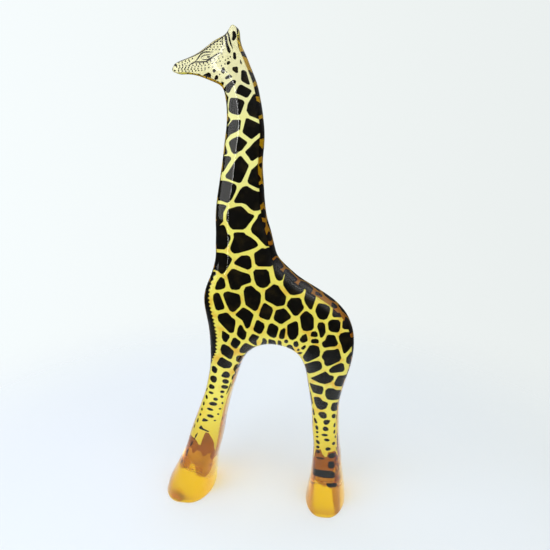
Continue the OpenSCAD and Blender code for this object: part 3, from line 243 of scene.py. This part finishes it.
# ---------------------------------------------------------------- mesh building
def inside(points, polygon):
    """Whether each point lies inside the polygon."""
    x, z = points[:, 0], points[:, 1]
    found = np.zeros(len(points), bool)
    a = polygon
    b = np.roll(polygon, -1, axis=0)
    for (x0, z0), (x1, z1) in zip(a, b):
        if z0 == z1:
            continue
        hit = ((z0 > z) != (z1 > z)) & (x < (x1 - x0) * (z - z0) / (z1 - z0) + x0)
        found ^= hit
    return found


def filled(polygon, spacing):
    """Triangles over a polygon: its points first, then a grid of inner points."""
    lo, hi = polygon.min(0), polygon.max(0)
    rows = np.arange(lo[1] + spacing / 2, hi[1], spacing * 0.87)
    grid = np.array([
        (x + (k % 2) * spacing / 2, z) for k, z in enumerate(rows) for x in np.arange(lo[0], hi[0], spacing)
    ])
    grid = grid[inside(grid, polygon)]
    far = np.array([np.min(((polygon - g) ** 2).sum(1)) > RIM_CLEAR * RIM_CLEAR for g in grid])
    grid = grid[far]
    points = np.concatenate([polygon, grid])
    verts, _, faces, _, _, _ = delaunay_2d_cdt(
        [Vector(v) for v in points], [], [list(range(len(polygon)))], 1, 1e-6
    )
    if len(verts) != len(points):
        raise RuntimeError("the inner outline crosses itself")
    return points, [list(f) for f in faces]


def floor_run(a, b, count=14):
    """Points between the two ends of a foot's edge on the floor."""
    return [a + (b - a) * k / count for k in range(1, count)]


def closed_body(name, side_points, cap_y, lift_rim):
    """A closed mesh: a ribbon of columns along both chains, a cap on each broad face, a base on each foot.

    side_points(chain, k) gives the points of column k as rows of (x, y, z); k runs from -m to m.
    cap_y(z) is half the thickness at the caps, and lift_rim the height of the rounded rim of the feet."""
    m = side_points.columns
    bm = bmesh.new()
    grids = []
    for chain in (0, 1):
        table = []
        for k in range(-m, m + 1):
            table.append([bm.verts.new(v) for v in side_points(chain, k)])
        grids.append(table)
        for k in range(2 * m):
            low_row, high_row = table[k], table[k + 1]
            for i in range(len(low_row) - 1):
                bm.faces.new((low_row[i], low_row[i + 1], high_row[i + 1], high_row[i]))
    runs = {}
    for side, k in ((-1, 0), (1, 2 * m)):
        outer, arch = grids[0][k], grids[1][k]
        ends = [(outer[-1], arch[0]), (arch[-1], outer[0])]
        loop_verts = list(outer)
        for foot, (a, b) in enumerate(ends):
            pa = np.array([a.co.x, a.co.z])
            pb = np.array([b.co.x, b.co.z])
            run = [bm.verts.new((q[0], side * cap_y(q[1]), q[1])) for q in floor_run(pa, pb)]
            runs[side, foot] = [a, *run, b]
            loop_verts += run + (list(arch) if foot == 0 else [])
        polygon = np.array([(v.co.x, v.co.z) for v in loop_verts])
        points, faces = filled(polygon, CAP_SPACING)
        extra = [bm.verts.new((x, side * cap_y(z), z)) for x, z in points[len(polygon) :]]
        every = loop_verts + extra
        for f in faces:
            bm.faces.new([every[i] for i in f])
    for foot in (0, 1):
        near, far = runs[-1, foot], runs[1, foot]
        first = [row[-1] for row in grids[foot]]
        last = [row[0] for row in grids[1 - foot]]
        rim = near[:-1] + last[:-1] + far[::-1][:-1] + first[::-1][:-1]
        centre = np.array([v.co[:2] for v in rim]).mean(0)
        previous = rim
        rings = ((0.3 * lift_rim, 0.7 * lift_rim), (lift_rim, lift_rim)) if lift_rim else ()
        for inward, drop in rings:
            ring = []
            for v in rim:
                out = np.array(v.co[:2]) - centre
                x, y = np.array(v.co[:2]) - out * inward / np.linalg.norm(out)
                ring.append(bm.verts.new((x, y, v.co.z - drop)))
            for i in range(len(rim)):
                j = (i + 1) % len(rim)
                bm.faces.new((previous[i], previous[j], ring[j], ring[i]))
            previous = ring
        points, faces = filled(np.array([v.co[:2] for v in previous]), BASE_SPACING)
        z = previous[0].co.z
        every = previous + [bm.verts.new((x, y, z)) for x, y in points[len(previous) :]]
        for f in faces:
            bm.faces.new([every[i] for i in f])
    bmesh.ops.scale(bm, vec=(0.001, 0.001, 0.001), verts=bm.verts)
    bmesh.ops.recalc_face_normals(bm, faces=bm.faces)
    loose = [e for e in bm.edges if len(e.link_faces) != 2]
    if loose:
        raise RuntimeError(f"{name} isn't closed: {len(loose)} edges")
    mesh = bpy.data.meshes.new(name)
    bm.to_mesh(mesh)
    bm.free()
    mesh.shade_smooth()
    obj = bpy.data.objects.new(name, mesh)
    bpy.context.scene.collection.objects.link(obj)
    return obj


LO = np.array(cad_box[0]) * 1000.0
HI = np.array(cad_box[1]) * 1000.0


class SkinPoints:
    """Columns of the clear skin, from the middle plane round the polished edge to the broad face."""

    columns = COLUMNS

    def __call__(self, chain, k):
        line, n, w = lines[chain], normals[chain], widths[chain]
        z0 = line[:, 1]
        share = 2.0 / power_at(z0)
        angle = abs(k) / COLUMNS * math.pi / 2
        inset = w * (1 - np.cos(angle) ** share) if abs(k) < COLUMNS else w
        q = line - n * (inset - PROUD * math.cos(angle))[:, None]
        y = np.sign(k) * outer_y(q[:, 1]) * math.sin(angle) ** share
        z = np.maximum(q[:, 1], FOOT_EDGE)
        z[0], z[-1] = FOOT_EDGE, FOOT_EDGE
        y[[0, -1]] = np.sign(k) * outer_y(FOOT_EDGE) * math.sin(angle) ** share[[0, -1]]
        return np.clip(np.stack([q[:, 0], y, z], 1), LO, HI)


def head_gap(line, n):
    """How much further in the amber lies around the face, more on the forehead than on the jaw."""
    on_head = ease((line[:, 1] - FACE_FLOOR) / 14) * ease((FACE_BACK - line[:, 0]) / 8)
    return on_head * (JAW_GAP + (BROW_GAP - JAW_GAP) * ease(0.5 + n[:, 1]))


class CorePoints:
    """Columns of the amber volume, from the middle plane to the film, a little inside the skin."""

    columns = CORE_COLUMNS

    def __call__(self, chain, k):
        line, n, w = lines[chain], normals[chain], widths[chain]
        z0 = line[:, 1]
        inset = inset_at(k / CORE_COLUMNS * core_y(z0), w, z0)
        q = line - n * (inset + CORE_GAP + head_gap(line, n))[:, None]
        z = np.maximum(q[:, 1], CORE_LIFT)
        z[0], z[-1] = CORE_LIFT, CORE_LIFT
        y = k / CORE_COLUMNS * core_y(z)
        return np.stack([q[:, 0], y, z], 1)


skin = closed_body("resin_skin", SkinPoints(), outer_y, FOOT_EDGE)
core = closed_body("amber_volume", CorePoints(), core_y, 0.0)


# ---------------------------------------------------------------- materials
RESIN_IOR = 1.49
SATIN = 0.26  # roughness of the underside of the feet
AMBER_TINT = (0.9975, 0.94, 0.0, 1)
AMBER_DENSITY = 200.0
BROWN_DARK = (0.76, 0.62, 0.12, 1)
BROWN_PALE = (0.82, 0.69, 0.2, 1)
RAMP_TOP = 560.0  # height at the end of the colour ramps, in mm


def new_material(name):
    material = bpy.data.materials.new(name)
    material.use_nodes = True
    tree = material.node_tree
    tree.nodes.clear()
    return material, tree


def add(tree, kind, **values):
    node = tree.nodes.new(kind)
    for key, value in values.items():
        setattr(node, key, value)
    return node


def rgb(r, g, b):
    """A display colour from 0 to 255 as a linear one."""
    parts = [c / 255 for c in (r, g, b)]
    return tuple(c / 12.92 if c <= 0.04045 else ((c + 0.055) / 1.055) ** 2.4 for c in parts) + (1.0,)


def ramp(tree, source, stops):
    node = add(tree, "ShaderNodeValToRGB")
    elements = node.color_ramp.elements
    while len(elements) > 1:
        elements.remove(elements[-1])
    elements[0].position, elements[0].color = stops[0]
    for place, colour in stops[1:]:
        e = elements.new(place)
        e.color = colour
    tree.links.new(source, node.inputs[0])
    return node.outputs[0]


def position(tree):
    return add(tree, "ShaderNodeNewGeometry").outputs["Position"]


def along(tree, letter, vector):
    """One coordinate of a vector."""
    node = add(tree, "ShaderNodeSeparateXYZ")
    tree.links.new(vector, node.inputs[0])
    return node.outputs[letter]


def noise(tree, scale, detail=2.0):
    """Grain of the given scale per metre, from 0 to 1."""
    node = add(tree, "ShaderNodeTexNoise")
    node.inputs["Scale"].default_value = scale
    node.inputs["Detail"].default_value = detail
    tree.links.new(position(tree), node.inputs["Vector"])
    return node.outputs["Fac"]


def spread(tree, source, low_in, high_in, low_out, high_out):
    """A value taken from one range to another, and held inside it."""
    node = add(tree, "ShaderNodeMapRange")
    names = ("From Min", "From Max", "To Min", "To Max")
    for key, value in zip(names, (low_in, high_in, low_out, high_out)):
        node.inputs[key].default_value = value
    tree.links.new(source, node.inputs["Value"])
    return node.outputs[0]


def blend(tree, factor, first, second):
    """Colour mix; first and second are sockets or fixed colours."""
    node = add(tree, "ShaderNodeMix", data_type="RGBA")
    tree.links.new(factor, node.inputs["Factor"])
    for value, socket in ((first, node.inputs[6]), (second, node.inputs[7])):
        if isinstance(value, tuple):
            socket.default_value = value
        else:
            tree.links.new(value, socket)
    return node.outputs[2]


def combined(tree, operation, a, b):
    node = add(tree, "ShaderNodeMath", operation=operation)
    tree.links.new(a, node.inputs[0])
    tree.links.new(b, node.inputs[1])
    return node.outputs[0]


def either_shader(tree, factor, first, second):
    """The first shader where the factor is 0, the second where it is 1."""
    node = add(tree, "ShaderNodeMixShader")
    for socket, value in zip(node.inputs, (factor, first, second)):
        tree.links.new(value, socket)
    return node.outputs[0]


def surface(tree, shader):
    """Makes a shader the surface of the material and returns the output node."""
    node = add(tree, "ShaderNodeOutputMaterial")
    tree.links.new(shader, node.inputs["Surface"])
    return node


def bumped(tree, shader, source, depth, strength):
    node = add(tree, "ShaderNodeBump")
    node.inputs["Distance"].default_value = depth
    node.inputs["Strength"].default_value = strength
    tree.links.new(source, node.inputs["Height"])
    tree.links.new(node.outputs[0], shader.inputs["Normal"])


def clear_resin():
    """Hand-polished cast resin: a slow waviness, faint wiping marks and a satin underside."""
    material, tree = new_material("clear_resin")
    glass = add(tree, "ShaderNodeBsdfPrincipled")
    glass.inputs["Base Color"].default_value = (1, 1, 1, 1)
    glass.inputs["IOR"].default_value = RESIN_IOR
    glass.inputs["Transmission Weight"].default_value = 1.0
    wiped = spread(tree, noise(tree, 35, 3), 0.55, 0.8, 0.0, 0.05)
    underside = spread(tree, along(tree, "Z", position(tree)), 0.0001, 0.0006, SATIN, 0.0)
    tree.links.new(combined(tree, "MAXIMUM", wiped, underside), glass.inputs["Roughness"])
    bumped(tree, glass, noise(tree, 28, 1), 0.0012, 0.25)
    open_way = add(tree, "ShaderNodeBsdfTransparent")
    path = add(tree, "ShaderNodeLightPath")
    surface(tree, either_shader(tree, path.outputs["Is Shadow Ray"], glass.outputs[0], open_way.outputs[0]))
    return material


def amber_resin():
    """Tinted resin with the index of the clear one, so that only its colour shows where they meet."""
    material, tree = new_material("amber_resin")
    out = surface(tree, add(tree, "ShaderNodeBsdfTransparent").outputs[0])
    absorb = add(tree, "ShaderNodeVolumeAbsorption")
    absorb.inputs["Color"].default_value = AMBER_TINT
    absorb.inputs["Density"].default_value = AMBER_DENSITY
    tree.links.new(absorb.outputs[0], out.inputs["Volume"])
    return material


def height_ramp(tree, stops):
    """Colours by height above the floor; stops are (z in mm, colour)."""
    height = spread(tree, along(tree, "Z", position(tree)), 0, RAMP_TOP / 1000, 0, 1)
    return ramp(tree, height, [(z / RAMP_TOP, colour) for z, colour in stops])


def ink(tree, colour):
    """Ink bonded inside the resin: no air in front of it, so no gloss of its own."""
    roughness = spread(tree, noise(tree, 120), 0, 1, 0.4, 0.7)
    shader = add(tree, "ShaderNodeBsdfPrincipled")
    shader.inputs["Specular IOR Level"].default_value = 0.0
    tree.links.new(colour, shader.inputs["Base Color"])
    tree.links.new(roughness, shader.inputs["Roughness"])
    bumped(tree, shader, noise(tree, 900, 2), 0.0002, 0.2)
    surface(tree, shader.outputs[0])


def yellow_ink():
    """Cream on the head, lemon on the neck and body and gold on the legs, with orange stains; below about 76
    mm the yellow is painted darker and olive towards the floor, as painted shade in the feet.
    """
    material, tree = new_material("yellow_ink")
    base = height_ramp(tree, [
        # the first two stops are painted shade: the yellow darkens towards the floor in the feet
        (56, rgb(168, 152, 44)), (76, rgb(218, 190, 44)), (110, rgb(230, 216, 76)),
        (160, rgb(234, 225, 108)), (250, rgb(234, 222, 90)), (330, rgb(242, 236, 118)),
        (390, rgb(238, 236, 148)), (440, rgb(238, 236, 158)), (478, rgb(227, 223, 180)),
        (520, rgb(220, 216, 176)),
    ])
    on_body = height_ramp(tree, [
        (95, rgb(70, 70, 70)), (150, rgb(255, 255, 255)), (300, rgb(210, 210, 210)), (380, rgb(0, 0, 0)),
    ])
    stain = combined(tree, "MULTIPLY", spread(tree, noise(tree, 70, 3), 0.5, 0.66, 0.0, 0.75), on_body)
    colour = blend(tree, stain, base, rgb(226, 166, 24))
    grain = spread(tree, noise(tree, 900, 2), 0.35, 0.65, 0.0, 0.12)
    ink(tree, blend(tree, grain, colour, rgb(250, 244, 150)))
    return material


def black_ink():
    """Black with a brown cast where the ink is thin."""
    material, tree = new_material("black_ink")
    thin = spread(tree, noise(tree, 90, 3), 0.5, 0.72, 0.0, 1.0)
    ink(tree, blend(tree, thin, rgb(13, 12, 9), rgb(34, 28, 14)))
    return material


def brown_tint():
    """A see-through brown layer on the foot films, a little uneven, that browns and darkens what is seen
    through the lower legs.
    """
    material, tree = new_material("brown_tint")
    see = add(tree, "ShaderNodeBsdfTransparent")
    uneven = spread(tree, noise(tree, 60, 2), 0.35, 0.65, 0.0, 1.0)
    tree.links.new(blend(tree, uneven, BROWN_DARK, BROWN_PALE), see.inputs["Color"])
    surface(tree, see.outputs[0])
    return material


def give(obj, material):
    """Puts one material on every face."""
    obj.data.materials.clear()
    obj.data.materials.append(material)
    for p in obj.data.polygons:
        p.material_index = 0


give(skin, clear_resin())
give(core, amber_resin())
yellow = yellow_ink()
black = black_ink()
brown = brown_tint()
for name, node in nodes.items():
    if name.endswith("_ground"):
        give(node, yellow)
    elif name.endswith("_foot_tint"):
        give(node, brown)
    elif name.endswith("_marks") or name.endswith("_patches"):
        give(node, black)

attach(skin, "root")
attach(core, "root")
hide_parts("left_cover", "right_cover", "left_foot_film", "right_foot_film")
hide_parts("amber_core")

# ---------------------------------------------------------------- floor, light and camera
scene = bpy.context.scene
scene.view_settings.view_transform = "Standard"
# Light crosses many layers on its way through the feet.
scene.cycles.max_bounces = 24
scene.cycles.transmission_bounces = 24
scene.cycles.transparent_max_bounces = 48

FLOOR_HALF = 1.6
FLOOR_DROP = 0.0003  # keeps the floor clear of the feet
FADE_START = 0.15  # distance from the middle at which the floor starts to give way to the backdrop
FADE_END = 0.75


def make_floor():
    """A pale floor that fades into the backdrop, painted lighter and bluer on the left as painted window
    light.
    """
    bm = bmesh.new()
    bmesh.ops.create_grid(bm, x_segments=24, y_segments=24, size=FLOOR_HALF)
    for v in bm.verts:
        v.co.z = -FLOOR_DROP
    mesh = bpy.data.meshes.new("floor")
    bm.to_mesh(mesh)
    bm.free()
    obj = bpy.data.objects.new("floor", mesh)
    scene.collection.objects.link(obj)
    material, tree = new_material("pale_floor")
    paper = add(tree, "ShaderNodeBsdfPrincipled")
    # painted light: bluer and lighter on the left, where the window is, greyer on the right
    floor_side_light = ramp(tree, spread(tree, along(tree, "X", position(tree)), -0.4, 0.4, 0, 1), [
        (0, rgb(226, 234, 246)), (0.5, rgb(233, 241, 247)), (1, rgb(222, 229, 232)),
    ])
    shade = spread(tree, noise(tree, 5, 2), 0.3, 0.7, 0, 0.3)
    tree.links.new(blend(tree, shade, floor_side_light, rgb(230, 236, 241)), paper.inputs["Base Color"])
    paper.inputs["Roughness"].default_value = 0.9
    paper.inputs["Specular IOR Level"].default_value = 0.1
    see = add(tree, "ShaderNodeBsdfTransparent")
    length = add(tree, "ShaderNodeVectorMath", operation="LENGTH")
    tree.links.new(position(tree), length.inputs[0])
    fade = add(tree, "ShaderNodeMapRange", interpolation_type="SMOOTHERSTEP")
    fade.inputs["From Min"].default_value = FADE_START
    fade.inputs["From Max"].default_value = FADE_END
    tree.links.new(length.outputs["Value"], fade.inputs["Value"])
    surface(tree, either_shader(tree, fade.outputs[0], paper.outputs[0], see.outputs[0]))
    give(obj, material)


def make_world():
    """The camera, also through the resin, sees a pale backdrop; reflections and light come from a studio."""
    world = bpy.data.worlds.new("studio")
    scene.world = world
    world.use_nodes = True
    tree = world.node_tree
    tree.nodes.clear()
    seen = add(tree, "ShaderNodeBackground")
    lit = add(tree, "ShaderNodeBackground")
    ray = add(tree, "ShaderNodeTexCoord").outputs["Generated"]
    # painted light: the backdrop is lighter and bluer on the left, the window side, greyer on the right
    backdrop = ramp(tree, spread(tree, along(tree, "X", ray), -0.6, 0.6, 0, 1), [
        (0, rgb(247, 253, 254)), (0.5, rgb(239, 244, 243)), (1, rgb(231, 236, 235)),
    ])
    tree.links.new(backdrop, seen.inputs["Color"])
    studio = ramp(tree, spread(tree, along(tree, "Z", ray), -1, 1, 0, 1), [
        (0.0, (0.02, 0.02, 0.02, 1)), (0.5, (0.05, 0.05, 0.05, 1)),
        (0.66, (0.2, 0.2, 0.21, 1)), (0.8, (0.9, 0.91, 0.93, 1)), (1.0, (1.1, 1.1, 1.1, 1)),
    ])
    tree.links.new(studio, lit.inputs["Color"])
    path = add(tree, "ShaderNodeLightPath").outputs
    looked_at = combined(tree, "MAXIMUM", path["Is Camera Ray"], path["Is Transmission Ray"])
    out = add(tree, "ShaderNodeOutputWorld")
    tree.links.new(either_shader(tree, looked_at, lit.outputs[0], seen.outputs[0]), out.inputs["Surface"])


def aimed(name, data, place, aim):
    """An object for a lamp or a camera that looks from one point to another."""
    obj = bpy.data.objects.new(name, data)
    scene.collection.objects.link(obj)
    obj.location = place
    obj.rotation_euler = (Vector(aim) - Vector(place)).to_track_quat("-Z", "Y").to_euler()
    return obj


def softbox(name, place, aim, size_x, size_y, power):
    """A rectangular lamp; metres and watts."""
    data = bpy.data.lights.new(name, "AREA")
    data.shape = "RECTANGLE"
    data.size = size_x
    data.size_y = size_y
    data.energy = power
    aimed(name, data, place, aim)


make_floor()
make_world()
softbox("window_left", (-1.17, -1.09, 0.75), (0, 0, 0.4), 2.0, 1.15, 12)
softbox("ceiling", (0.2, -0.5, 1.5), (0, 0, 0.2), 1.4, 1.0, 5)
softbox("window_gap", (-0.345, -1.15, 0.5), (0, 0, 0.5), 0.022, 0.9, 0.4)  # a thin streak on the neck

CAMERA_PLACE = (0.1047, -0.5402, 0.4307)
CAMERA_AIM = (0.023, 0.0, 0.2771)


def make_camera():
    data = bpy.data.cameras.new("camera")
    data.sensor_width = 36.0
    data.lens = 33.7
    scene.camera = aimed("camera", data, CAMERA_PLACE, CAMERA_AIM)


make_camera()
